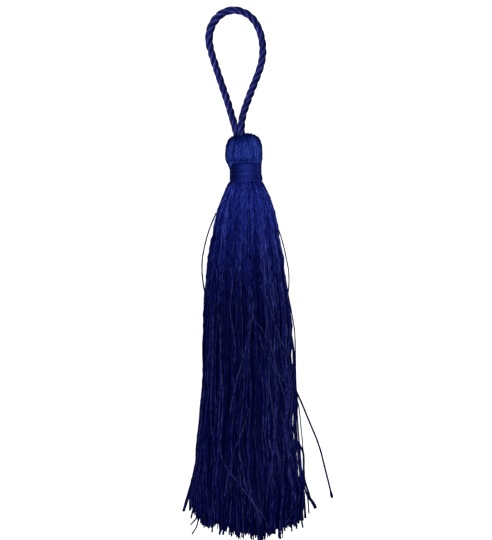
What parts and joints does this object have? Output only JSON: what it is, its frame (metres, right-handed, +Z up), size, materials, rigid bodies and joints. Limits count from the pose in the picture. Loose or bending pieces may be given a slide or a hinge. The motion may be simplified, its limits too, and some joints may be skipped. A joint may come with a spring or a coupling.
{
  "type": "tassel",
  "caption": "Silky yarn tassel lying flat, with a rounded head, a wound neck binding, a flared skirt with a cut fringe end, and a twisted cord loop at the top.",
  "frame": {"origin": "on the surface that the tassel lies on, under the middle of the box of its yarn and binding", "axes": "+Y along the tassel towards the cord loop, +Z up from the surface, +X to the right seen from above with the loop at the top"},
  "size_m": [0.0456, 0.1601, 0.0107],
  "materials": {
    "yarn": "silky, fine straight strands",
    "binding_thread": "silky, wound thread",
    "cord": "satin, four-ply twist",
    "stray_yarn": "silky, single strand"
  },
  "bodies": {
    "root": {"yarn_hank": "yarn", "neck_binding": "binding_thread", "hanging_loop": "cord", "stray_strand": "stray_yarn"}
  },
  "joints": []
}
